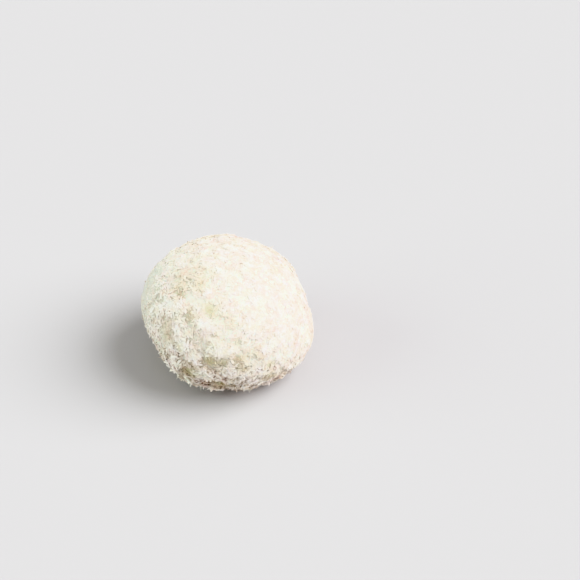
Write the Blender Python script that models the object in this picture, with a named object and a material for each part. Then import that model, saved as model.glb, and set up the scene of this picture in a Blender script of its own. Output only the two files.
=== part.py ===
"""Coconut rice ball: a soft ball of sticky rice dough, rolled in fine coconut shreds.

Metres, +Z up. The origin is the middle of the flat base, on the surface that the ball rests on.
The ball has slumped a little under its own weight: it is lower than it is wide, its widest ring
is below half its height, and its underside tucks in to a small flat base. The dough and its coat
are one solid, because the shreds are pressed into the dough all over.
"""

import math
import random

import bmesh
import bpy
from mathutils import Matrix, Vector

# The ball, measured over the coat where it has no lump.
WIDTH = 0.0505
HEIGHT = 0.74 * WIDTH
WIDEST_RING = 0.43 * HEIGHT
# The underside is the end of a half ellipsoid, this many times as deep as the widest ring is high.
UNDERSIDE_DEPTH = 1.28 * WIDEST_RING

# Where the hand left the ball full or hollow: direction from the middle of the widest ring (turn
# about +Z from +X, and angle above level), angle that the lump spreads over, and its swell.
LUMPS = (
    (12, 12, 18, -0.0018),
    (65, 45, 16, -0.0007),
    (95, 50, 16, 0.0004),
    (150, 30, 16, 0.0005),
    (170, 15, 16, 0.0007),
    (-175, -10, 16, 0.0002),
    (-160, -20, 16, -0.0017),
    (-100, -50, 16, 0.0003),
    (-70, -45, 16, -0.0004),
    (-40, -35, 16, 0.0012),
    (-15, -15, 16, 0.0017),
    (-45, 0, 50, 0.0005),
    (135, 0, 50, 0.0005),
)

# The coat of shreds. Most are too fine to model one by one, so they are grain on the ball, which
# rises and falls by this much about a surface that lies a coat's depth under the outline.
COAT = 0.0003
GRAIN = 0.00028
GRAIN_ROUNDS = 5

# The largest shreds stand on the grain as pieces of their own.
SHREDS = 200
SHRED_LENGTH = (0.0020, 0.0034)
SHRED_WIDTH = (0.0007, 0.0010)
SHRED_THICKNESS = 0.0005
SHRED_BEND = 0.12
SHRED_TAPER = 0.35
SHRED_TIP_DEGREES = 16
SHRED_LIFT = 0.0001
LOWEST_SHRED = 0.0015
CLEAR_OF_BASE = 0.0001
SPACING_JITTER = 0.05
GOLDEN_TURN = math.pi * (3 - math.sqrt(5))

GRAIN_SEED = 3
SHRED_SEED = 7

COAT_COLOUR = (0.89, 0.87, 0.79, 1)
COAT_ROUGHNESS = 0.8


def new_collection(name):
    collection = bpy.data.collections.new(name)
    bpy.context.scene.collection.children.link(collection)
    return collection


def direction_from(turn, rise):
    """The unit vector at this turn about +Z and this angle above level, both in degrees."""
    turn, rise = math.radians(turn), math.radians(rise)
    return Vector((math.cos(turn) * math.cos(rise), math.sin(turn) * math.cos(rise), math.sin(rise)))


def swell(direction):
    """How far the ball stands out past its plain form in this direction, from all its lumps."""
    total = 0
    for turn, rise, spread, height in LUMPS:
        closeness = direction.dot(direction_from(turn, rise)) - 1
        total += height * math.exp(closeness / math.radians(spread) ** 2)
    return total


def ball_point(direction, inset=0):
    """The point of the ball's surface in this direction from the middle of its widest ring."""
    half = WIDTH / 2
    depth = HEIGHT - WIDEST_RING if direction.z > 0 else UNDERSIDE_DEPTH
    growth = 1 + (swell(direction) - inset) / half
    point = Vector((direction.x * half, direction.y * half, direction.z * depth)) * growth
    return point + Vector((0, 0, WIDEST_RING))


def ball_normal(direction, step=0.01):
    """The outward unit normal of the surface there, from two short steps along it."""
    along = direction.orthogonal().normalized()
    across = direction.cross(along)
    here = ball_point(direction)
    first = ball_point((direction + step * along).normalized()) - here
    second = ball_point((direction + step * across).normalized()) - here
    return first.cross(second).normalized()


def cut_base(bm):
    """Cuts the ball off level at its base, and closes the cut with one flat face."""
    whole = bm.verts[:] + bm.edges[:] + bm.faces[:]
    down = (0, 0, -1)
    cut = bmesh.ops.bisect_plane(bm, geom=whole, plane_co=(0, 0, 0), plane_no=down, clear_outer=True)
    rim = [edge for edge in cut["geom_cut"] if isinstance(edge, bmesh.types.BMEdge)]
    bmesh.ops.contextual_create(bm, geom=rim)
    bmesh.ops.recalc_face_normals(bm, faces=bm.faces[:])


def make_dough(collection):
    """The ball with its grain: an icosphere pushed out to the ball's form, flat at its base."""
    draw = random.Random(GRAIN_SEED)
    bm = bmesh.new()
    bmesh.ops.create_icosphere(bm, subdivisions=GRAIN_ROUNDS, radius=1)
    for vertex in bm.verts:
        inset = COAT + draw.uniform(-GRAIN, GRAIN)
        vertex.co = ball_point(vertex.co.normalized(), inset)
    cut_base(bm)
    mesh = bpy.data.meshes.new("coconut_rice_ball")
    bm.to_mesh(mesh)
    bm.free()
    mesh.shade_smooth()
    dough = bpy.data.objects.new("coconut_rice_ball", mesh)
    collection.objects.link(dough)
    return dough


def shape_shred(draw):
    """A short strip, narrower at its ends and bent a little both sideways and along the ball."""
    length = draw.uniform(*SHRED_LENGTH)
    width = draw.uniform(*SHRED_WIDTH)
    sideways = draw.uniform(-SHRED_BEND, SHRED_BEND) * length
    upward = -draw.uniform(0, SHRED_BEND / 2) * length
    bm = bmesh.new()
    bmesh.ops.create_cube(bm, size=1)
    long_edges = [edge for edge in bm.edges if edge.verts[0].co.x * edge.verts[1].co.x < 0]
    bmesh.ops.subdivide_edges(bm, edges=long_edges, cuts=1, use_grid_fill=True)
    for vertex in bm.verts:
        toward_end = abs(2 * vertex.co.x)
        narrowing = 1 - SHRED_TAPER * toward_end
        vertex.co.y = vertex.co.y * width * narrowing + sideways * toward_end
        vertex.co.z = vertex.co.z * SHRED_THICKNESS * narrowing + upward * toward_end
        vertex.co.x *= length
    mesh = bpy.data.meshes.new("shred")
    bm.to_mesh(mesh)
    bm.free()
    return mesh


def lay_on_ball(direction, draw):
    """The place of a shred that lies on the dough there, turned and tipped by chance."""
    out = ball_normal(direction)
    along = out.orthogonal().normalized()
    side = out.cross(along)
    flat = Matrix((along, side, out)).transposed().to_4x4()
    turn = Matrix.Rotation(draw.uniform(0, 2 * math.pi), 4, "Z")
    tip = Matrix.Rotation(math.radians(draw.uniform(-SHRED_TIP_DEGREES, SHRED_TIP_DEGREES)), 4, "Y")
    return Matrix.Translation(ball_point(direction, COAT) + out * SHRED_LIFT) @ flat @ turn @ tip


def make_shreds(collection):
    """The largest shreds, spaced evenly round the ball on a spiral from its top to its base."""
    draw = random.Random(SHRED_SEED)
    for number in range(SHREDS):
        rise = 1 - 2 * (number + 0.5) / SHREDS
        ring = math.sqrt(1 - rise**2)
        turn = number * GOLDEN_TURN + draw.uniform(-SPACING_JITTER, SPACING_JITTER)
        direction = Vector((ring * math.cos(turn), ring * math.sin(turn), rise))
        mesh = shape_shred(draw)
        place = lay_on_ball(direction, draw)
        if place.translation.z < LOWEST_SHRED:
            continue
        shred = bpy.data.objects.new("shred", mesh)
        mesh.transform(place)
        for vertex in mesh.vertices:
            vertex.co.z = max(vertex.co.z, CLEAR_OF_BASE)
        collection.objects.link(shred)


def keep_largest_piece(mesh):
    """Drops a scrap that touches nothing, and fills a bubble that the joining sealed in."""
    bm = bmesh.new()
    bm.from_mesh(mesh)
    unseen = set(bm.verts)
    pieces = []
    while unseen:
        edge_of_piece = [unseen.pop()]
        piece = []
        while edge_of_piece:
            vertex = edge_of_piece.pop()
            piece.append(vertex)
            near = {edge.other_vert(vertex) for edge in vertex.link_edges} & unseen
            unseen -= near
            edge_of_piece.extend(near)
        pieces.append(piece)
    pieces.sort(key=len)
    for piece in pieces[:-1]:
        bmesh.ops.delete(bm, geom=piece, context="VERTS")
    bm.to_mesh(mesh)
    bm.free()


def join_coat(dough, shreds):
    """Joins the shreds to the dough as one closed solid, and removes the loose ones."""
    joined = dough.modifiers.new("Coat", "BOOLEAN")
    joined.operation = "UNION"
    joined.operand_type = "COLLECTION"
    joined.collection = shreds
    joined.solver = "EXACT"
    graph = bpy.context.evaluated_depsgraph_get()
    dough.data = bpy.data.meshes.new_from_object(dough.evaluated_get(graph))
    dough.modifiers.clear()
    keep_largest_piece(dough.data)
    for shred in list(shreds.objects):
        bpy.data.objects.remove(shred)
    bpy.data.collections.remove(shreds)


def coat_material():
    material = bpy.data.materials.new("coconut_coat")
    material.use_nodes = True
    shader = material.node_tree.nodes["Principled BSDF"]
    shader.inputs["Base Color"].default_value = COAT_COLOUR
    shader.inputs["Roughness"].default_value = COAT_ROUGHNESS
    shader.inputs["Metallic"].default_value = 0
    return material


for old in list(bpy.data.objects):
    bpy.data.objects.remove(old)

ball = make_dough(new_collection("Coconut rice ball"))
loose = new_collection("Loose shreds")
make_shreds(loose)
join_coat(ball, loose)
ball.data.name = ball.name
ball.data.materials.clear()
ball.data.materials.append(coat_material())
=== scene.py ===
# %% [markdown]
# # Coconut rice ball
# A spoonful of sticky rice dough is rolled into a ball between the palms, and then rolled in
# grated coconut while it is still tacky. It slumps a little as it rests, so it is wider than it
# is high and sits on a small flat base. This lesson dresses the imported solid: first the ball's
# form, then the bare dough, then four sizes of coconut pressed into it and a few stray shreds,
# then the finishes, and last the studio. The solid's own box is measured first, because nothing
# that is laid on it may leave that box.

import math

import bmesh
import bpy
import numpy as np
from mathutils import Matrix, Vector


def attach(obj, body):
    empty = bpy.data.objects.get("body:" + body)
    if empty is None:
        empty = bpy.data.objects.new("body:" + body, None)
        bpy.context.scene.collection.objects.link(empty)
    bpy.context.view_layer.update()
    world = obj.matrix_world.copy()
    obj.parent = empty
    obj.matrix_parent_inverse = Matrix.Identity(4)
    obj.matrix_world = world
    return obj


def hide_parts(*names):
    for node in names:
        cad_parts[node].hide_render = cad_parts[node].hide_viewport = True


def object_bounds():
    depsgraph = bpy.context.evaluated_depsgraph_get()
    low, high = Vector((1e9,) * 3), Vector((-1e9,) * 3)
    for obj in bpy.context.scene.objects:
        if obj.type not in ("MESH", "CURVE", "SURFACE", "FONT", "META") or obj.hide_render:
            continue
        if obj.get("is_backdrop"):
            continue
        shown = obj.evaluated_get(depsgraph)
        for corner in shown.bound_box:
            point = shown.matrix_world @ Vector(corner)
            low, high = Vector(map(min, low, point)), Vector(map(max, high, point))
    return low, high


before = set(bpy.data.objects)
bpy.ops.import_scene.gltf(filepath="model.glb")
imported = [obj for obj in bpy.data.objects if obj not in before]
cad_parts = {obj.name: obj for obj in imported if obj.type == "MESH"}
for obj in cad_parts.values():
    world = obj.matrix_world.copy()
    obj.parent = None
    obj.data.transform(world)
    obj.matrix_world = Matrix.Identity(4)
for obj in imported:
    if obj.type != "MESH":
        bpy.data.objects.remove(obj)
cad_low, cad_high = (np.array(corner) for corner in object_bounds())
print("the solid measures, in mm:", [round(1000 * side, 1) for side in cad_high - cad_low])

# %% [markdown]
# ## The ball's form
# The coat has to lie on exactly the form that the solid has, so its driving sizes are stated
# again here. The form is two half ellipsoids that share the widest ring, a deep one above and a
# shallow one below, with soft lumps where the hand left it full or hollow. Sculpting could give
# the same, but a formula gives the surface at any point we ask for, and that is what we need to
# lay tens of thousands of shreds on it.

# %% Sizes of the ball
WIDTH = 0.0505
HEIGHT = 0.74 * WIDTH
WIDEST_RING = 0.43 * HEIGHT
UNDERSIDE_DEPTH = 1.28 * WIDEST_RING

# Each lump: turn about +Z from +X, angle above level, the angle that it spreads over, its swell.
LUMPS = (
    (12, 12, 18, -0.0018),
    (65, 45, 16, -0.0007),
    (95, 50, 16, 0.0004),
    (150, 30, 16, 0.0005),
    (170, 15, 16, 0.0007),
    (-175, -10, 16, 0.0002),
    (-160, -20, 16, -0.0017),
    (-100, -50, 16, 0.0003),
    (-70, -45, 16, -0.0004),
    (-40, -35, 16, 0.0012),
    (-15, -15, 16, 0.0017),
    (-45, 0, 50, 0.0005),
    (135, 0, 50, 0.0005),
)
print("the ball is", 1000 * WIDTH, "mm wide and has", len(LUMPS), "lumps and hollows")

# %% [markdown]
# ## Directions
# Every place on the ball is named by its direction from the middle of the widest ring. A soft
# spot around one direction is a bell curve of the angle to it, and one such function serves the
# lumps and everything else that fades out around a place.

# %% Directions and soft spots
def unit(vectors):
    return vectors / np.linalg.norm(vectors, axis=-1, keepdims=True)


def toward(turn, rise):
    """The unit vector at this turn and this angle above level, both in degrees."""
    turn, rise = math.radians(turn), math.radians(rise)
    level = math.cos(rise)
    return np.array((math.cos(turn) * level, math.sin(turn) * level, math.sin(rise)))


def soft_spots(directions, spots):
    """The sum of bell curves, each given as turn, rise, spread in degrees and its height."""
    total = np.zeros(len(directions))
    for turn, rise, spread, height in spots:
        away = directions @ toward(turn, rise) - 1
        total += height * np.exp(away / math.radians(spread) ** 2)
    return total


front = toward(-90, 20)[None]
print("the swell in the middle of the front is", soft_spots(front, LUMPS).round(5), "m")

# %% [markdown]
# ## The surface in a direction
# The half ellipsoids and the lumps give a point for each direction. Where that point would lie
# below the base, it is drawn back along its direction to the level that the ball rests on. So
# the flat base is part of the same form, and the coat will run on under it as it does in life.

# %% The surface of the ball
def ball_surface(directions):
    depth = np.where(directions[:, 2] > 0, HEIGHT - WIDEST_RING, UNDERSIDE_DEPTH)
    half = np.full(len(directions), WIDTH / 2)
    growth = 1 + soft_spots(directions, LUMPS) / half
    from_middle = directions * np.stack((half, half, depth), axis=1) * growth[:, None]
    drawn_back = WIDEST_RING / np.maximum(-from_middle[:, 2], WIDEST_RING)
    return from_middle * drawn_back[:, None] + (0, 0, WIDEST_RING)


top = ball_surface(toward(0, 90)[None])[0]
print("the top of the form is at", round(1000 * top[2], 1), "mm")

# %% [markdown]
# ## Ground to stand a shred on
# To lay a shred down we need the surface's own upright there, and to strew evenly we need the
# area that a direction stands for. Two short steps along the surface give both: their cross
# product points out of the ball, and its length is the area between them. The first step goes
# square to +Z, or square to +X where the direction is nearly +Z itself.

# %% Uprights and areas
STEP = 0.01
CLOSE_TO_UPRIGHT = 0.9


def ground(directions, surface=ball_surface):
    """The surface's points, its outward uprights, and the area of each direction's surroundings."""
    steep = np.abs(directions[:, 2:]) > CLOSE_TO_UPRIGHT
    helper = np.where(steep, (1.0, 0, 0), (0, 0, 1.0))
    along = unit(np.cross(helper, directions))
    across = np.cross(directions, along)
    here = surface(directions)
    first = surface(unit(directions + STEP * along)) - here
    second = surface(unit(directions + STEP * across)) - here
    out = np.cross(first, second)
    return here, unit(out), np.linalg.norm(out, axis=1)


print("the front's own upright is", ground(front)[1][0].round(2))

# %% [markdown]
# ## Unevenness
# Nothing on a hand-made sweet is even. Many waves of about one length, added up with chance
# directions and phases, make a smooth random value anywhere in space. It is the same idea as a
# noise texture, but plain code can read it as well, so that the dough and the coat agree about
# where the coat is full. Three such values of different sizes together say where the coconut
# has clumped.

# %% A smooth random value in space
WAVE_MIX = (0.6, 1.4)


def wave_field(seed, size, waves=60):
    """A function of points, smooth and mostly between -1 and 1, with hills about this far apart."""
    draw = np.random.default_rng(seed)
    turns = unit(draw.normal(size=(waves, 3))) * (2 * math.pi / size)
    turns *= draw.uniform(*WAVE_MIX, (waves, 1))
    phases = draw.uniform(0, 2 * math.pi, waves)

    def value(points):
        return np.sin(points @ turns.T + phases).sum(axis=1) / math.sqrt(waves)

    return value


CLUMPS = (
    (0.20, wave_field(seed=23, size=0.0016)),
    (0.80, wave_field(seed=21, size=0.0030)),
    (0.90, wave_field(seed=22, size=0.0062)),
)
at_top = [float(share * field(top[None])[0]) for share, field in CLUMPS]
print("clumps at the top of the ball:", [round(value, 2) for value in at_top])

# %% [markdown]
# ## Where the coat is dusty or even
# The coat is never the same all over. On one shoulder it is only a fine dust on smooth dough, and
# the side that was rolled last is full, flat and even. Both are masks: functions that give a
# number from 0 to 1 for each direction. Masks could be painted on the mesh by hand too, but lists
# of soft spots are easy to read and change, and the strewing can use them before there is a mesh.
# Each place below is such a spot: its turn, its angle above level, its spread and its strength.

# %% Dusty and even places
DUSTY_PLACES = ((171, 28, 18, 1.0), (-168, 0, 16, 0.75), (-148, -16, 14, 0.6))
EVEN_PLACES = ((-28, 9, 32, 1.0), (-60, 48, 28, 1.0), (-138, 16, 9, 0.6))


def dustiness(directions):
    """Toward 1 on the shoulder that has only a fine dust of coconut."""
    return np.clip(soft_spots(directions, DUSTY_PLACES), 0, 1)


def evenness(directions):
    """Toward 1 on the side that was rolled last."""
    return np.clip(soft_spots(directions, EVEN_PLACES), 0, 1)


print("the front is dusty by", dustiness(front).round(2), "and even by", evenness(front).round(2))

# %% [markdown]
# ## Where the dough shows
# In small hollows the coconut didn't stick, and the tan dough itself shows. On the front each of
# these has its place. Elsewhere they come by chance, where a slow random value is high, but not
# on the dusty shoulder or the even side.

# %% Bare places
BARE_PLACES = (
    (-144, 51, 4.0, 0.35),
    (-150, 62, 5.0, 0.35),
    (-128, 63, 4.0, 0.35),
    (-160, 55, 4.0, 0.3),
    (-135, 72, 4.0, 0.2),
    (-104, 48, 4.0, 0.8),
    (-119, 39, 3.0, 0.8),
    (-92, 41, 3.0, 0.2),
    (-84, 38, 3.5, 0.25),
    (-135, 24, 4.5, 0.5),
    (-121, 14, 2.5, 0.5),
    (-99, 9, 3.5, 1.1),
    (-90, 8, 2.5, 0.8),
    (-80, 11, 3.5, 0.8),
    (-77, 3, 3.0, 0.7),
    (-65, 11, 2.5, 0.5),
    (-58, -1, 3.0, 0.6),
    (-59, -16, 4.0, 0.8),
    (-114, -9, 4.5, 1.1),
    (-92, -22, 4.0, 1.2),
    (-133, 16, 4.0, 0.4),
    (-108, 0, 3.0, 0.5),
    (-98, 24, 5.0, 0.15),
    (-80, 25, 2.5, 0.4),
    (-70, 17, 4.0, 0.25),
)
FRONT = ((-90, 20, 40, 1.2),)
PATCHES_ABOVE = 0.85
PATCH_BARENESS = 1.1

patches = wave_field(seed=33, size=0.0085)


def bareness(directions):
    """Toward 1 in small hollows where the dough shows."""
    by_chance = PATCH_BARENESS * np.clip(patches(ball_surface(directions)) - PATCHES_ABOVE, 0, 1)
    for mask in (evenness(directions), dustiness(directions), soft_spots(directions, FRONT)):
        by_chance *= 1 - np.clip(mask, 0, 1)
    return np.clip(soft_spots(directions, BARE_PLACES) + by_chance, 0, 1)


print(len(BARE_PLACES), "bare places; the middle of the front shows", bareness(front).round(2))

# %% [markdown]
# ## Where the coat is shaggy
# Low down, where the ball was pressed into the loose coconut, the coat is thick and its shreds
# stand up. The same happens more weakly in a rough place high on the left and in one behind the
# top. Hardly anything stands up on the even side.

# %% Shaggy places
SHAGGY_BELOW = 0.8
SHAGGY_RANGE = 1.2
SHAGGY_IF_EVEN = 0.1
ROUGH_PLACES = ((-140, 48, 22, 0.35), (110, 66, 24, 0.2))


def shagginess(directions):
    """0 on the smooth upper side, 1 on the underside, and less on the even side."""
    low_down = np.clip((SHAGGY_BELOW - directions[:, 2]) / SHAGGY_RANGE, 0, 1)
    rough = np.clip(low_down + soft_spots(directions, ROUGH_PLACES), 0, 1)
    return rough * (1 - (1 - SHAGGY_IF_EVEN) * evenness(directions))


print("the middle of the front is shaggy by", shagginess(front).round(2))

# %% [markdown]
# ## Heaps and hollows
# The coconut balls up into heaps a few millimetres across, and between them are hollows. Both come
# by chance, with the largest heaps on the front at places of their own, and every bare place is a
# hollow too. A heap draws more splinters together and lifts them, and its splinters are painted
# whiter, as painted light on its raised top.

# %% Heaps and hollows
HEAPED_PLACES = (
    (-131, 32, 5.0, 1.3),
    (-116, 18, 4.5, 1.3),
    (-92, 16, 5.0, 1.4),
    (-106, -7, 4.0, 1.3),
    (-143, 35, 3.5, 1.0),
    (-124, -4, 4.0, 1.2),
    (-77, -5, 3.5, 1.3),
    (-69, -17, 4.5, 1.4),
    (-58, 4, 3.0, 1.0),
    (-113, 48, 3.0, 1.0),
    (-174, 38, 3.0, 0.8),
    (-80, 30, 3.0, 1.0),
)
HOLLOW_IF_BARE = 0.8


def heaps(directions):
    """Toward 1 on the largest heaps."""
    return np.clip(soft_spots(directions, HEAPED_PLACES), 0, 1)


def clumps(directions, places):
    """High where the coconut has balled up, low in the hollows between."""
    by_chance = sum(share * field(places) for share, field in CLUMPS)
    return by_chance + soft_spots(directions, HEAPED_PLACES) - HOLLOW_IF_BARE * bareness(directions)


print("the middle of the front is clumped by", clumps(front, ball_surface(front)).round(2))

# %% [markdown]
# ## How far the coat rises
# Heaps are highest where the coat is shaggy, lower on the even side, and hardly there on the dusty
# shoulder. A displacement could raise them on a finished mesh, but here the same height is asked
# for by the dough and by every splinter, so it is a function. The tallest heaps are rounded off,
# and the coat as a whole is sunk a little, so that the heaps stay near the ball's outline instead
# of swelling past it.

# %% The coat's own surface
HEAP_LIFT = 0.00022
SHAGGY_HEAP_LIFT = 0.00052
HEAPS_IF_DUSTY = 0.3
HEAPS_IF_EVEN = 0.7
TALLEST_HEAP = 1.4
SUNK = 0.00027
SHAGGY_SUNK = 0.00038


def heave(directions, places):
    """How far the coat rises over the plain form. It is mostly a little under it."""
    shag = shagginess(directions)
    lift = HEAP_LIFT + (SHAGGY_HEAP_LIFT - HEAP_LIFT) * shag
    lift *= 1 - (1 - HEAPS_IF_DUSTY) * dustiness(directions)
    lift *= 1 - (1 - HEAPS_IF_EVEN) * evenness(directions)
    rounded = TALLEST_HEAP * np.tanh(clumps(directions, places) / TALLEST_HEAP)
    return lift * rounded - (SUNK + (SHAGGY_SUNK - SUNK) * shag)


def coat_surface(directions):
    """The points of the coat's own surface, with its heaps and hollows."""
    places, out, _ = ground(directions)
    return places + out * heave(directions, places)[:, None]


print("the middle of the front rises by", heave(front, ball_surface(front)).round(5), "m")

# %% [markdown]
# ## Pieces, and the numbers that they carry
# Blender keeps a form apart from the object that stands in the scene with it, so each piece is
# made as data first and is then put in the scene. A mesh can carry a number at each of its points,
# for a finish to read. A painted image could tell the finish the same, but it would need the mesh
# to be unwrapped first.

# %% Put pieces in the scene
def put_in_scene(name, data):
    """A new object of this name in the scene, with this mesh, camera or light."""
    piece = bpy.data.objects.new(name, data)
    bpy.context.scene.collection.objects.link(piece)
    return piece


def keep_on_points(mesh, title, values):
    """Keeps a number at each point of the mesh, under the title that a finish asks for."""
    kept = mesh.attributes.new(title, "FLOAT", "POINT")
    kept.data.foreach_set("value", values.astype(np.float32))


# %% [markdown]
# ## The bare dough
# Under the coat is sticky rice dough: smooth, a little moist and cloudy. It starts as an
# icosphere, whose faces are all about the same size, and each point is pushed out to the form
# less the depth of the coat. A subdivided cube would do as well, but a UV sphere crowds its faces
# at the poles. The coat gets deep only where it is really shaggy, which is what a power of the
# mask is for. The heaps are filled inside, so the dough rises with them most of the way. It stays
# inside the solid's box. Each point keeps how dusty and how shaggy its place is, and how much of
# the plain dough shows there, for the finish to read.

# %% Make the dough
SMOOTH_COAT = 0.00022
SHAGGY_COAT = 0.00115
SHAGGY_COAT_POWER = 1.5
DUSTY_COAT = 0.15
THINNER_IF_BARE = 0.6
BARE_HOLLOW = 0.00012
FILLED_HEAP = 0.7
INSIDE_BOX = (0.00002, 0.00008)
DOUGH_ROUNDS = 7
DOUGH_HILLS = (
    (0.00008, wave_field(seed=0, size=0.0050)),
    (0.00005, wave_field(seed=1, size=0.0017)),
)


def dough_inset(directions):
    """How far the dough lies under the outline of the coat."""
    surface = ball_surface(directions)
    shag = shagginess(directions) ** SHAGGY_COAT_POWER
    full = SMOOTH_COAT + (SHAGGY_COAT - SMOOTH_COAT) * shag
    full *= 1 - (1 - DUSTY_COAT) * dustiness(directions)
    bare = bareness(directions)
    inset = full * (1 - THINNER_IF_BARE * bare) + BARE_HOLLOW * bare
    for height, field in DOUGH_HILLS:
        inset = inset + height * field(surface)
    return inset


def make_dough():
    bm = bmesh.new()
    bmesh.ops.create_icosphere(bm, subdivisions=DOUGH_ROUNDS, radius=1)
    mesh = bpy.data.meshes.new("rice_dough")
    bm.to_mesh(mesh)
    bm.free()
    values = np.empty(len(mesh.vertices) * 3, np.float32)
    mesh.vertices.foreach_get("co", values)
    directions = unit(values.reshape(-1, 3).astype(float))
    places, out, _ = ground(directions)
    raised = FILLED_HEAP * heave(directions, places) - dough_inset(directions)
    points = places + out * raised[:, None]
    points = np.clip(points, cad_low + INSIDE_BOX[1], cad_high - INSIDE_BOX[1])
    mesh.vertices.foreach_set("co", points.astype(np.float32).ravel())
    mesh.shade_smooth()
    for title, mask in (("showing", bareness), ("dusty", dustiness), ("shaggy", shagginess)):
        keep_on_points(mesh, title, mask(directions))
    return put_in_scene("rice_dough", mesh)


dough = make_dough()
print("dough:", len(dough.data.polygons), "triangles")

# %% [markdown]
# ## Strewing
# A particle system could strew the shreds, but its copies aren't real mesh. Instead we draw
# random directions and keep each with a chance that grows with its area and with how full the
# coat is there. A seeded generator draws the same in every run.

# %% Strew directions over the ball
BASE_COVER = 0.4
CLUMPING = 0.4
SHAGGY_CLUMPING = 0.6
SPARSEST_TO_FULLEST = (0.4, 3.0)
TRIES_FOR_EACH = 4


def cover(directions, places, kind):
    """How much of this kind of coconut lies there, against 1 for a plain full coat."""
    shag = shagginess(directions)
    amount = 1 - kind["dusty"] * dustiness(directions)
    amount *= 1 - kind["bare"] * bareness(directions)
    amount *= 1 + kind["shaggy_more"] * shag
    clumping = CLUMPING + (SHAGGY_CLUMPING - CLUMPING) * shag
    amount *= np.clip(1 + clumping * clumps(directions, places), *SPARSEST_TO_FULLEST)
    return np.where(places[:, 2] > 0, amount, BASE_COVER * amount)


def strew(draw, kind):
    """Directions over the ball's surface, as many as there are pieces of this kind."""
    kept = np.zeros((0, 3))
    while len(kept) < kind["count"]:
        tries = unit(draw.normal(size=(TRIES_FOR_EACH * kind["count"], 3)))
        places, _, area = ground(tries)
        weight = area * cover(tries, places, kind)
        kept = np.concatenate((kept, tries[draw.random(len(tries)) * weight.max() < weight]))
    return kept[: kind["count"]]


# %% [markdown]
# ## One splinter, many times
# Grated coconut comes as thin splinters: flat, hardly curled, uneven in width, narrower at their
# ends, and cut off short and askew. Each is a stack of small cross sections along a spine. Working
# on all splinters of a kind at once, as rows of an array, builds thousands in a moment, where one
# object for each would take minutes.

# %% Grow splinters
UNEVEN_WIDTH = (0.65, 1.25)
ASKEW_CUT = 0.5


def mostly_small(draw, ends, shape):
    """Sizes between two ends, where halving and doubling are equally likely."""
    smallest, largest = ends
    return smallest * (largest / smallest) ** draw.random(shape)


def splinters(draw, kind):
    """Splinters about the origin along X, as an array of pieces x stations x corners x 3."""
    count, stations, sides = kind["count"], kind["stations"], kind["sides"]
    one_each = (count, 1, 1)
    length = mostly_small(draw, kind["length"], one_each)
    width = mostly_small(draw, kind["width"], one_each)
    thick = mostly_small(draw, kind["thick"], one_each)
    along = np.linspace(-1, 1, stations)[None, :, None]
    angle = np.arange(sides) * 2 * math.pi / sides
    uneven = draw.uniform(*UNEVEN_WIDTH, (count, stations, 1))
    narrowing = (1 - kind["taper"] * along**2) * uneven
    y = np.cos(angle)[None, None, :] * width / 2 * narrowing
    z = np.sin(angle)[None, None, :] * thick / 2 * narrowing
    first_cut = draw.normal(0, ASKEW_CUT, one_each)
    last_cut = draw.normal(0, ASKEW_CUT, one_each)
    x = length / 2 * along + np.where(along < 0, first_cut, last_cut) * y * along**2
    twist = draw.normal(0, kind["twist"], one_each) * along
    bend = draw.normal(0, kind["curl"], one_each) * length * along**2
    lift = draw.normal(0, kind["curl"] / 2, one_each) * length * along**2
    turned_y = y * np.cos(twist) - z * np.sin(twist) + bend
    turned_z = y * np.sin(twist) + z * np.cos(twist) + lift
    return np.stack(np.broadcast_arrays(x, turned_y, turned_z), axis=-1)


# %% [markdown]
# ## How a splinter lies
# Each splinter has a chance heading, and a small tip and roll, much more of both where the coat is
# really shaggy. A few are raised steeply. Three directions at right angles say all of that: the
# spine, the flat side, and what is square to both. Blender could turn each object by its angles,
# but here all the splinters are turned at once.

# %% Turn splinters
UNRULY_POWER = 1.7


def turned(draw, lean, shag, kind):
    """Each splinter's spine, flat side and thickness, as three rows, about a direction of lean."""
    count = len(lean)
    heading = unit(np.cross(lean, draw.normal(size=(count, 3))))
    unruly = kind["shaggy_tip"] * shag**UNRULY_POWER
    tip = draw.normal(0, 1, count) * (kind["tip"] + unruly)
    often_raised = kind["raised_high"] + (kind["raised_low"] - kind["raised_high"]) * shag
    raised = draw.random(count) < often_raised
    tip = np.radians(np.where(raised, draw.uniform(*kind["raised_tip"], count), tip))
    spine = unit(heading * np.cos(tip)[:, None] + lean * np.sin(tip)[:, None])
    side = unit(np.cross(lean, spine))
    roll = np.radians(draw.normal(0, 1, count) * (kind["roll"] + unruly))
    upright = np.cross(spine, side)
    flat_side = side * np.cos(roll)[:, None] + upright * np.sin(roll)[:, None]
    return np.stack((spine, flat_side, np.cross(spine, flat_side)), axis=1)


# %% [markdown]
# ## Laying them down
# Splinters lean with the heaps that they lie on, long ones less than small ones, because a long
# one bridges from heap to heap. Each is sunk to its own share of the coat's depth. In thin places
# that depth follows the dough outward, so that what little lies there still sits on it. A splinter
# that would leave the solid's box is moved back inside as a whole, by a chance margin, so that no
# flat wall of them forms there.

# %% Lay splinters on the ball
def back_in_box(draw, points):
    """The same points, with each splinter moved as a whole so far that it is inside the box."""
    margin = draw.uniform(*INSIDE_BOX, (len(points), 1))
    too_high = np.maximum(points.max(axis=(1, 2)) - (cad_high - margin), 0)
    too_low = np.maximum(cad_low + margin - points.min(axis=(1, 2)), 0)
    return points + (too_low - too_high)[:, None, None, :]


def lay_down(draw, shapes, directions, kind):
    """The splinters' points on the ball, and how deep in the coat each lies, from 0 to 1."""
    places, out, _ = ground(directions)
    _, heap_out, _ = ground(directions, coat_surface)
    lean = unit(out + kind["follows"] * (heap_out - out))
    axes = turned(draw, lean, shagginess(directions), kind)
    share = draw.uniform(*kind["depth"], len(directions))
    level = heave(directions, places) - share * dough_inset(directions)
    middle = places + out * level[:, None]
    points = np.einsum("nksa,nab->nksb", shapes, axes) + middle[:, None, None, :]
    return back_in_box(draw, points), np.clip(-level / SHAGGY_COAT, 0, 1)


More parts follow.
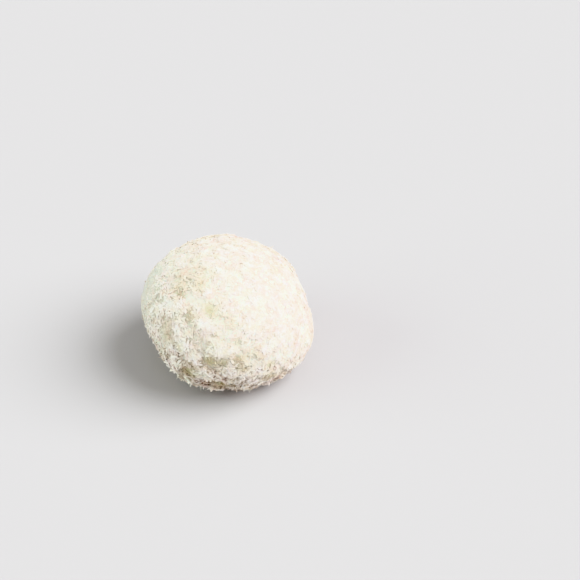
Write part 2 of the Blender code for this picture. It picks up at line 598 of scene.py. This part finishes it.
# %% [markdown]
# ## The faces of a splinter
# The walls are quads between one cross section and the next, and quads close both ends. The
# corner numbers of one splinter are worked out once and shifted for all the others.

# %% Faces
def splinter_faces(stations, sides):
    ring = np.arange(sides)
    after = np.roll(ring, -1)
    wall = np.stack((ring, after, after + sides, ring + sides), axis=1)
    walls = [wall + sides * station for station in range(stations - 1)]
    first_end = np.array([(0, corner + 2, corner + 1, corner) for corner in range(1, sides - 1, 2)])
    last_end = sides * (stations - 1) + first_end[:, ::-1]
    return np.concatenate((*walls, first_end, last_end))


print("a splinter with 5 cross sections of 4 corners has", len(splinter_faces(5, 4)), "faces")

# %% [markdown]
# ## One mesh for each kind
# All splinters of a kind are one mesh. Three values ride along on its points for the finish to
# read: a chance tone for each splinter, how deep it lies in the coat, and how bare the dough is
# around it. The depth sets a painted shade between the splinters, and the bareness a tint of the
# dough's tan with painted shade of the bare hollow. A low tone is creamy and a high one white.
# Creamy splinters are a little rarer on the smooth upper side, and much rarer on the largest heaps,
# as painted light where the light falls most.
# Edges sharper than the angle given here stay crisp, because coconut is cut and not moulded.

# %% Build one kind of coconut
CRISP_EDGE = math.radians(50)
# Painted light: creamy splinters are fewer on the smooth upper side and on the largest heaps, so
# those places are painted whiter where the light falls most.
SMOOTH_TONES = 0.9
HEAPS_PAINTED_WHITER = 0.4


def tones(draw, kind, directions):
    """How white each splinter is, up to 1, painted whiter on the upper side and on heaps as painted
    light.
    """
    tone_range = SMOOTH_TONES + (1 - SMOOTH_TONES) * shagginess(directions)
    tone_range *= kind["creamy"] * (1 - HEAPS_PAINTED_WHITER * heaps(directions))
    return 1 - tone_range * draw.random(kind["count"])


def coconut(name, kind, seed, directions=None):
    """All splinters of one kind as one piece, strewn by chance or laid in these directions."""
    draw = np.random.default_rng(seed)
    if directions is None:
        directions = strew(draw, kind)
    points, depth = lay_down(draw, splinters(draw, kind), directions, kind)
    faces = splinter_faces(kind["stations"], kind["sides"])
    corners = kind["stations"] * kind["sides"]
    shift = corners * np.arange(kind["count"])[:, None, None]
    mesh = bpy.data.meshes.new(name)
    mesh.from_pydata(points.reshape(-1, 3), [], (faces + shift).reshape(-1, 4))
    mesh.shade_smooth()
    mesh.set_sharp_from_angle(angle=CRISP_EDGE)
    keep_on_points(mesh, "tone", np.repeat(tones(draw, kind, directions), corners))
    keep_on_points(mesh, "depth", np.repeat(depth, corners))
    # How bare the dough around each splinter is, for the finish to paint the dough's tan and the
    # hollow's shade.
    keep_on_points(mesh, "bare_tan_and_shade", np.repeat(bareness(directions), corners))
    print(name + ":", kind["count"], "splinters,", 2 * len(mesh.polygons), "triangles")
    return put_in_scene(name, mesh)


# %% [markdown]
# ## The coat, from coarse to fine
# Grated coconut is a mix of sizes. Long shreds lie on top and catch the light, short ones fill
# the gaps between them, and chips and crumbs lie deepest and cling to the thin places. Each kind
# has a list of its own values, a row for each of these:
#
# - how many there are, and of how many cross sections with how many corners
# - its sizes in metres, each between two ends
# - how much it narrows, bends and twists
# - how it lies: roll and tip in degrees, how much more of both in shaggy places, how far it
#   follows the heaps, and its share of the coat's depth, where 0 is the outline and 1 the dough
# - how much it thins out in dusty and bare places and thickens in shaggy ones, and how far its
#   tones reach to the creamy end
# - how many are raised on the smooth upper side and low down, and by how many degrees.

# %% Long shreds
LONG_SHREDS = {
    "count": 5500, "stations": 5, "sides": 4,
    "length": (0.0011, 0.0031), "width": (0.00036, 0.00074), "thick": (0.00011, 0.00026),
    "taper": 0.40, "curl": 0.06, "twist": 0.25,
    "roll": 4, "tip": 1.5, "shaggy_tip": 17, "follows": 0.4, "depth": (-0.1, 0.5),
    "dusty": 1.0, "bare": 0.85, "shaggy_more": 0.5, "creamy": 0.8,
    "raised_high": 0.0, "raised_low": 0.02, "raised_tip": (30, 65),
}
coat = [coconut("long_shreds", LONG_SHREDS, seed=101)]

# %% [markdown]
# Short shreds are the same splinters broken once more. At their size three cross sections are
# enough.

# %% Short shreds
SHORT_SHREDS = {
    "count": 9900, "stations": 3, "sides": 4,
    "length": (0.0007, 0.0018), "width": (0.00031, 0.00075), "thick": (0.00010, 0.00022),
    "taper": 0.35, "curl": 0.03, "twist": 0.2,
    "roll": 6, "tip": 3, "shaggy_tip": 24, "follows": 0.6, "depth": (-0.05, 0.8),
    "dusty": 0.97, "bare": 0.65, "shaggy_more": 0.3, "creamy": 0.9,
    "raised_high": 0.0, "raised_low": 0.06, "raised_tip": (30, 65),
}
coat.append(coconut("short_shreds", SHORT_SHREDS, seed=102))

# %% [markdown]
# Chips are nearly as wide as they are long. They are the flat scraps that close the coat, so most
# of them lie flat and follow the heaps closely.

# %% Chips
CHIPS = {
    "count": 16500, "stations": 2, "sides": 4,
    "length": (0.00055, 0.0014), "width": (0.00048, 0.00105), "thick": (0.00009, 0.00020),
    "taper": 0.25, "curl": 0.0, "twist": 0.1,
    "roll": 8, "tip": 5, "shaggy_tip": 12, "follows": 0.9, "depth": (0.2, 1.0),
    "dusty": 0.88, "bare": 0.5, "shaggy_more": -0.2, "creamy": 1.0,
    "raised_high": 0.0, "raised_low": 0.06, "raised_tip": (30, 65),
}
coat.append(coconut("chips", CHIPS, seed=103))

# %% [markdown]
# Crumbs are the dust of the grater. They stick wherever the dough is tacky, also where hardly
# anything else does, so there are more of them on the dusty shoulder and not fewer.

# %% Crumbs
CRUMBS = {
    "count": 15500, "stations": 2, "sides": 4,
    "length": (0.00020, 0.00045), "width": (0.00018, 0.00040), "thick": (0.00010, 0.00024),
    "taper": 0.2, "curl": 0.0, "twist": 0.3,
    "roll": 30, "tip": 20, "shaggy_tip": 10, "follows": 0.9, "depth": (0.0, 1.0),
    "dusty": -0.6, "bare": 0.2, "shaggy_more": -0.3, "creamy": 1.0,
    "raised_high": 0.0, "raised_low": 0.0, "raised_tip": (30, 65),
}
coat.append(coconut("crumbs", CRUMBS, seed=104))

# %% [markdown]
# A few long shreds stand out from the outline on their own, so these have places of their own
# instead of chance ones: one high on the left, and some like teeth low on the front.

# %% Stray shreds
STRAY_PLACES = ((132, 46), (-98, -28), (-81, -33), (-72, -31), (-58, -26), (-46, -18), (-108, -30))
STRAY_SHREDS = dict(LONG_SHREDS, count=len(STRAY_PLACES), length=(0.0021, 0.0028))
STRAY_SHREDS.update(raised_high=1.0, raised_low=1.0, raised_tip=(60, 85))
stray_directions = np.array([toward(*stray) for stray in STRAY_PLACES])
coat.append(coconut("stray_shreds", STRAY_SHREDS, seed=105, directions=stray_directions))

# %% [markdown]
# ## Finishes
# A material is a small tree of nodes. Five helpers keep that readable. One places a node and sets
# its settings and sockets by name, one draws wires from outputs to inputs, and one fetches a
# number that a piece carries on its points. The last two start a material, with its shader, and
# an effect: a node group with titled inputs and outputs, which several materials can use.

# %% Node helpers
COLOUR = "NodeSocketColor"
NUMBER = "NodeSocketFloat"


def place(tree, kind, sockets=(), **settings):
    node = tree.nodes.new(kind)
    for name, value in settings.items():
        setattr(node, name, value)
    for name, value in dict(sockets).items():
        node.inputs[name].default_value = value
    return node


def connect(tree, *wires):
    for source, target in wires:
        tree.links.new(source, target)


def carried(tree, title):
    return place(tree, "ShaderNodeAttribute", attribute_name=title).outputs["Fac"]


def new_finish(name):
    material = bpy.data.materials.new(name)
    material.use_nodes = True
    return material, material.node_tree, material.node_tree.nodes["Principled BSDF"]


def new_effect(name, inputs, outputs):
    tree = bpy.data.node_groups.new(name, "ShaderNodeTree")
    for direction, sockets in (("INPUT", inputs), ("OUTPUT", outputs)):
        for title, kind in sockets.items():
            tree.interface.new_socket(title, in_out=direction, socket_type=kind)
    return tree, tree.nodes.new("NodeGroupInput"), tree.nodes.new("NodeGroupOutput")


# %% [markdown]
# ## Tint drift, shared by dough and coconut
# Neither is of one colour: both drift softly from one cast to another over a few millimetres.
# Both finishes use the same effect, and each uses it twice, so it is a node group, built once and
# placed with its own values each time. A noise picks the cast, and the cast is multiplied in.

# %% Tint drift group
def tint_drift_group():
    inputs = {"Colour": COLOUR, "Warm": COLOUR, "Cool": COLOUR}
    inputs.update({"Patches per metre": NUMBER, "Strength": NUMBER})
    tree, given, result = new_effect("Tint drift", inputs, {"Colour": COLOUR})
    where = tree.nodes.new("ShaderNodeTexCoord")
    noise = place(tree, "ShaderNodeTexNoise", {"Detail": 3.0, "Roughness": 0.6})
    spread = place(tree, "ShaderNodeMapRange", {"From Min": 0.35, "From Max": 0.65})
    cast = place(tree, "ShaderNodeMix", data_type="RGBA")
    tinted = place(tree, "ShaderNodeMix", data_type="RGBA", blend_type="MULTIPLY")
    connect(
        tree,
        (where.outputs["Object"], noise.inputs["Vector"]),
        (given.outputs["Patches per metre"], noise.inputs["Scale"]),
        (noise.outputs["Fac"], spread.inputs["Value"]),
        (spread.outputs["Result"], cast.inputs["Factor"]),
        (given.outputs["Warm"], cast.inputs["A"]),
        (given.outputs["Cool"], cast.inputs["B"]),
        (given.outputs["Strength"], tinted.inputs["Factor"]),
        (given.outputs["Colour"], tinted.inputs["A"]),
        (cast.outputs["Result"], tinted.inputs["B"]),
        (tinted.outputs["Result"], result.inputs["Colour"]),
    )
    return tree


tint_drift = tint_drift_group()
print("the tint drift group has", len(tint_drift.nodes), "nodes")

# %% [markdown]
# ## Fine grain, shared by dough and coconut
# Up close the cut coconut shows its fibre and the dough its pores. Both are a fine noise that
# moves the normal and the roughness together, so that is a group as well. It puts out the noise
# for a Bump node and a roughness between two ends.

# %% Fine grain group
def fine_grain_group():
    inputs = {"Grains per metre": NUMBER, "Smoothest": NUMBER, "Roughest": NUMBER}
    outputs = {"Height": NUMBER, "Roughness": NUMBER}
    tree, given, result = new_effect("Fine grain", inputs, outputs)
    where = tree.nodes.new("ShaderNodeTexCoord")
    noise = place(tree, "ShaderNodeTexNoise", {"Detail": 3.0, "Roughness": 0.55})
    rough = place(tree, "ShaderNodeMapRange", {"From Min": 0.3, "From Max": 0.7})
    connect(
        tree,
        (where.outputs["Object"], noise.inputs["Vector"]),
        (given.outputs["Grains per metre"], noise.inputs["Scale"]),
        (noise.outputs["Fac"], result.inputs["Height"]),
        (noise.outputs["Fac"], rough.inputs["Value"]),
        (given.outputs["Smoothest"], rough.inputs["To Min"]),
        (given.outputs["Roughest"], rough.inputs["To Max"]),
        (rough.outputs["Result"], result.inputs["Roughness"]),
    )
    return tree


fine_grain = fine_grain_group()
print("the fine grain group has", len(fine_grain.nodes), "nodes")

# %% [markdown]
# ## The whites of coconut
# Fresh grated coconut is a clean white with a few creamier splinters. The tone that each splinter
# carries picks its white from a ramp, which is simpler than a material for each shade. A splinter
# deep in the coat is painted a little darker and creamier, as painted shade between the splinters.
# One in a bare place gets the dough's tan, darkened further as painted shade of the hollow. Over
# all that lie two drifts of the tint, one between cream and white, and a wider, fainter one
# between pink and green.

# %% Colours of the coconut
COCONUT_WHITES = (
    (0.00, (0.85, 0.79, 0.69, 1)),
    (0.10, (0.92, 0.875, 0.81, 1)),
    (0.35, (0.965, 0.915, 0.895, 1)),
    (0.55, (0.97, 0.965, 0.91, 1)),
    (0.75, (0.985, 0.96, 0.965, 1)),
    (1.00, (0.985, 0.98, 0.975, 1)),
)
# Painted shade: splinters deep in the coat are multiplied by this darker, creamier tint, for the
# shade in the gaps between splinters.
DEPTH_PAINTED_SHADE = (0.79, 0.715, 0.655, 1)
# In bare places splinters are multiplied by this tint: the dough's tan, and painted shade of the
# hollow that they lie in.
BARE_TAN_AND_SHADE_TINT = (0.72, 0.665, 0.49, 1)
CREAM_DRIFT = {
    "Warm": (0.96, 0.90, 0.825, 1),
    "Cool": (0.99, 1, 0.99, 1),
    "Patches per metre": 420,
    "Strength": 0.9,
}
PINK_DRIFT = {
    "Warm": (1, 0.955, 0.975, 1),
    "Cool": (0.98, 0.995, 0.94, 1),
    "Patches per metre": 270,
    "Strength": 0.8,
}


def white_ramp(tree):
    ramp = tree.nodes.new("ShaderNodeValToRGB")
    stops = ramp.color_ramp.elements
    while len(stops) < len(COCONUT_WHITES):
        stops.new(0.5)
    for stop, (position, colour) in zip(stops, COCONUT_WHITES):
        stop.position = position
        stop.color = colour
    return ramp


print("coconut has", len(COCONUT_WHITES), "whites")

# %% [markdown]
# ## Coconut
# Coconut is matt, because its cut fibres scatter the light, and each fibre is a fine ridge that
# only the bump has to show. It has little gloss, so its specular level is turned down a bit.

# %% Coconut finish
FIBRE = {"Grains per metre": 5000, "Smoothest": 0.5, "Roughest": 0.8}
FIBRE_BUMP = {"Strength": 0.3, "Distance": 0.00004}
COCONUT_GLOSS = 0.35


def coconut_finish():
    material, tree, shader = new_finish("grated_coconut")
    ramp = white_ramp(tree)
    multiply = {"data_type": "RGBA", "blend_type": "MULTIPLY"}
    depth_shade = place(tree, "ShaderNodeMix", {"B": DEPTH_PAINTED_SHADE}, **multiply)
    bare_tan_shaded = place(tree, "ShaderNodeMix", {"B": BARE_TAN_AND_SHADE_TINT}, **multiply)
    drift = place(tree, "ShaderNodeGroup", CREAM_DRIFT, node_tree=tint_drift)
    blush = place(tree, "ShaderNodeGroup", PINK_DRIFT, node_tree=tint_drift)
    grain = place(tree, "ShaderNodeGroup", FIBRE, node_tree=fine_grain)
    bump = place(tree, "ShaderNodeBump", FIBRE_BUMP)
    connect(
        tree,
        (carried(tree, "tone"), ramp.inputs["Fac"]),
        (ramp.outputs["Color"], depth_shade.inputs["A"]),
        (carried(tree, "depth"), depth_shade.inputs["Factor"]),
        (depth_shade.outputs["Result"], bare_tan_shaded.inputs["A"]),
        (carried(tree, "bare_tan_and_shade"), bare_tan_shaded.inputs["Factor"]),
        (bare_tan_shaded.outputs["Result"], drift.inputs["Colour"]),
        (drift.outputs["Colour"], blush.inputs["Colour"]),
        (blush.outputs["Colour"], shader.inputs["Base Color"]),
        (grain.outputs["Roughness"], shader.inputs["Roughness"]),
        (grain.outputs["Height"], bump.inputs["Height"]),
        (bump.outputs["Normal"], shader.inputs["Normal"]),
    )
    shader.inputs["Specular IOR Level"].default_value = COCONUT_GLOSS
    return material


grated_coconut = coconut_finish()
for piece in coat:
    piece.data.materials.append(grated_coconut)
print("coconut finish on", [piece.name for piece in coat])

# %% [markdown]
# ## The colours of dough
# Under a full coat the dough is white with the coconut's dust. On the dusty shoulder it is milky
# and greyer: partly because the moist dough shows through a thin dust, and partly as painted shade
# of that side, which faces away from the key light. Low down, between thick shreds, it is painted
# darker and browner, as painted shade between the shreds. In the bare places it is a moist tan,
# darkened further as painted shade of the hollow. Over that lie a wide drift of the tint and a fine
# one, which is the dust itself, lying here and missing there.

# %% Colours of the dough
DUSTED_DOUGH = (0.93, 0.91, 0.86, 1)
# The dusty shoulder: the dough showing through thin dust, darkened as painted shade of the side
# away from the key light.
MILKY_AND_SHADED_DOUGH = (0.80, 0.80, 0.765, 1)
# Painted shade: the dough low down between thick shreds, where the shaggy mask is high.
SHADED_DOUGH = (0.69, 0.61, 0.53, 1)
# Bare places: the dough's own tan, darkened further as painted shade of the hollows that they lie
# in.
BARE_TAN_SHADED_DOUGH = (0.58, 0.525, 0.35, 1)
DOUGH_DRIFT = {
    "Warm": (1, 0.97, 0.92, 1),
    "Cool": (0.96, 1, 0.97, 1),
    "Patches per metre": 220,
    "Strength": 0.8,
}
DUST_DRIFT = {
    "Warm": (1, 1, 0.98, 1),
    "Cool": (0.92, 0.94, 0.91, 1),
    "Patches per metre": 1100,
    "Strength": 0.9,
}
for drift in (DOUGH_DRIFT, DUST_DRIFT):
    print("a drift of the dough's tint has", drift["Patches per metre"], "patches in a metre")

# %% [markdown]
# ## Dough
# Rice dough is smoother and moister than the coconut, and light goes a little way into it before
# it comes back out, red the farthest. That is what subsurface scattering is for. The coconut does
# without, because its splinters are thinner than that.

# %% Dough finish
PORES = {"Grains per metre": 2400, "Smoothest": 0.35, "Roughest": 0.6}
PORE_BUMP = {"Strength": 0.4, "Distance": 0.0001}
CLOUDINESS = 0.3
LIGHT_REACH = 0.0004
REACH_OF_EACH_COLOUR = (1.0, 0.85, 0.6)


def dough_finish():
    material, tree, shader = new_finish("rice_dough")
    colours = {"A": DUSTED_DOUGH, "B": MILKY_AND_SHADED_DOUGH}
    milky_and_shaded = place(tree, "ShaderNodeMix", colours, data_type="RGBA")
    shaded = place(tree, "ShaderNodeMix", {"B": SHADED_DOUGH}, data_type="RGBA")
    bare = place(tree, "ShaderNodeMix", {"B": BARE_TAN_SHADED_DOUGH}, data_type="RGBA")
    drift = place(tree, "ShaderNodeGroup", DOUGH_DRIFT, node_tree=tint_drift)
    dust = place(tree, "ShaderNodeGroup", DUST_DRIFT, node_tree=tint_drift)
    grain = place(tree, "ShaderNodeGroup", PORES, node_tree=fine_grain)
    bump = place(tree, "ShaderNodeBump", PORE_BUMP)
    connect(
        tree,
        (carried(tree, "dusty"), milky_and_shaded.inputs["Factor"]),
        (milky_and_shaded.outputs["Result"], shaded.inputs["A"]),
        (carried(tree, "shaggy"), shaded.inputs["Factor"]),
        (shaded.outputs["Result"], bare.inputs["A"]),
        (carried(tree, "showing"), bare.inputs["Factor"]),
        (bare.outputs["Result"], drift.inputs["Colour"]),
        (drift.outputs["Colour"], dust.inputs["Colour"]),
        (dust.outputs["Colour"], shader.inputs["Base Color"]),
        (grain.outputs["Roughness"], shader.inputs["Roughness"]),
        (grain.outputs["Height"], bump.inputs["Height"]),
        (bump.outputs["Normal"], shader.inputs["Normal"]),
    )
    shader.inputs["Subsurface Weight"].default_value = CLOUDINESS
    shader.inputs["Subsurface Radius"].default_value = REACH_OF_EACH_COLOUR
    shader.inputs["Subsurface Scale"].default_value = LIGHT_REACH
    return material


dough.data.materials.append(dough_finish())
print("dough finish on", dough.name)

# %% [markdown]
# ## Handing the pieces to the frame
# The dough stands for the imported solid, and the coat rides on the same body, so the whole sweet
# is one thing that is picked up together.

# %% Ride and replace
for piece in (dough, *coat):
    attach(piece, "root")
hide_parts("coconut_rice_ball")
print(dough.name, "and", len(coat), "pieces of coat ride on the root")

# %% [markdown]
# ## The camera
# The camera looks down on the ball from the front, a little more than 40 degrees below level and
# from about 40 centimetres away. Its place and tilt are turned into one matrix.

# %% Camera
CAMERA_PLACE = (0.01858, -0.29791, 0.28523)
CAMERA_DOWN = 41.09
CAMERA_ROLL = 1.207
CAMERA_LENS = 83.38
SENSOR_WIDTH = 36
NEAREST_SEEN = 0.01


def make_camera():
    data = bpy.data.cameras.new("camera")
    data.lens = CAMERA_LENS
    data.sensor_width = SENSOR_WIDTH
    data.clip_start = NEAREST_SEEN
    camera = put_in_scene("camera", data)
    tilt = Matrix.Rotation(math.radians(90 - CAMERA_DOWN), 4, "X")
    roll = Matrix.Rotation(math.radians(CAMERA_ROLL), 4, "Z")
    camera.matrix_world = Matrix.Translation(CAMERA_PLACE) @ tilt @ roll
    return camera


bpy.context.scene.camera = make_camera()
print("the camera stands", round(math.dist(CAMERA_PLACE, (0, 0, 0)), 3), "m from the base")

# %% [markdown]
# ## The floor
# A plain pale surface under the ball, so wide that its edge lies on the horizon. It has no gloss,
# so that it is equally pale near and far. Its grey is a touch pink, and so looks neutral in the
# slightly green light that the ball needs.

# %% Floor
FLOOR_REACH = 60.0
FLOOR_SQUARES = 8
FLOOR_COLOUR = (0.515, 0.4975, 0.504, 1)


def make_floor():
    bm = bmesh.new()
    bmesh.ops.create_grid(bm, x_segments=FLOOR_SQUARES, y_segments=FLOOR_SQUARES, size=FLOOR_REACH)
    mesh = bpy.data.meshes.new("floor")
    bm.to_mesh(mesh)
    bm.free()
    floor = put_in_scene("floor", mesh)
    floor.location.z = cad_low[2]
    material, _, shader = new_finish("floor")
    shader.inputs["Base Color"].default_value = FLOOR_COLOUR
    shader.inputs["Roughness"].default_value = 1.0
    shader.inputs["Specular IOR Level"].default_value = 0.0
    mesh.materials.append(material)
    print("the floor reaches", FLOOR_REACH, "m each way")
    return floor


make_floor()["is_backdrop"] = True

# %% [markdown]
# ## The light
# White on white needs soft light, or the coat turns into black and white speckle. A sun with a
# very wide disc is as soft as a large studio lamp, and lights the floor evenly to its far edge.
# One high on the right is the key, and a weaker, slightly green one low on the left opens the
# shade.

# %% Lights
def soft_light(name, turn, rise, spread, strength, colour):
    """A sun this many degrees round and up, with a disc this many degrees wide."""
    data = bpy.data.lights.new(name, "SUN")
    data.angle = math.radians(spread)
    data.energy = strength
    data.color = colour
    away = toward(turn, rise)
    across = unit(np.cross((0, 0, 1), away))
    axes = np.stack((across, np.cross(away, across), away, away), axis=1)
    light = put_in_scene(name, data)
    light.matrix_world = Matrix([*axes.tolist(), [0, 0, 0, 1]])
    print(name, "light:", turn, "degrees round,", rise, "degrees up, strength", strength)


soft_light("key", turn=0, rise=45, spread=50, strength=4.4, colour=(0.955, 0.99, 1.0))
soft_light("fill", turn=-170, rise=20, spread=50, strength=1.42, colour=(0.80, 1.0, 0.90))

# %% [markdown]
# The sky lights from every side, in a grey that is a touch warm. What the camera sees of it above
# the horizon is set apart, to the brightness that the floor has, so that no seam shows. The view
# is the one that shows whites and pale colours as they are.

# %% Sky and view
SKY_LIGHT = (0.580, 0.560, 0.556, 1)
SKY_SEEN = (0.842, 0.838, 0.840, 1)


def make_sky():
    world = bpy.data.worlds.new("studio")
    world.use_nodes = True
    tree = world.node_tree
    lit = tree.nodes["Background"]
    lit.inputs["Color"].default_value = SKY_LIGHT
    seen = place(tree, "ShaderNodeBackground", {"Color": SKY_SEEN})
    ray = tree.nodes.new("ShaderNodeLightPath")
    either = tree.nodes.new("ShaderNodeMixShader")
    connect(
        tree,
        (ray.outputs["Is Camera Ray"], either.inputs["Fac"]),
        (lit.outputs["Background"], either.inputs[1]),
        (seen.outputs["Background"], either.inputs[2]),
        (either.outputs["Shader"], tree.nodes["World Output"].inputs["Surface"]),
    )
    return world


bpy.context.scene.world = make_sky()
bpy.context.scene.view_settings.view_transform = "Khronos PBR Neutral"
print("the sky is", bpy.context.scene.world.name, "and the view is Khronos PBR Neutral")

# %% [markdown]
# Light that gets between white shreds bounces many times before it comes out again. Four bounces,
# the usual limit, would leave those gaps grey, so more are let through.

# %% Light bounces
bpy.context.scene.cycles.diffuse_bounces = 16
bpy.context.scene.cycles.max_bounces = 24
print("light bounces up to", bpy.context.scene.cycles.diffuse_bounces, "times off matt surfaces")

# %% [markdown]
# ## Last measures
# The dressed ball has to stay inside the solid's box, so both boxes are kept side by side.

# %% Sizes, and the end
low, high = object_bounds()
boxes = {"cad": [list(cad_low), list(cad_high)], "visual": [list(low), list(high)]}
for name, (start, end) in boxes.items():
    print(name, "box in mm:", [round(1000 * (b - a), 2) for a, b in zip(start, end)])
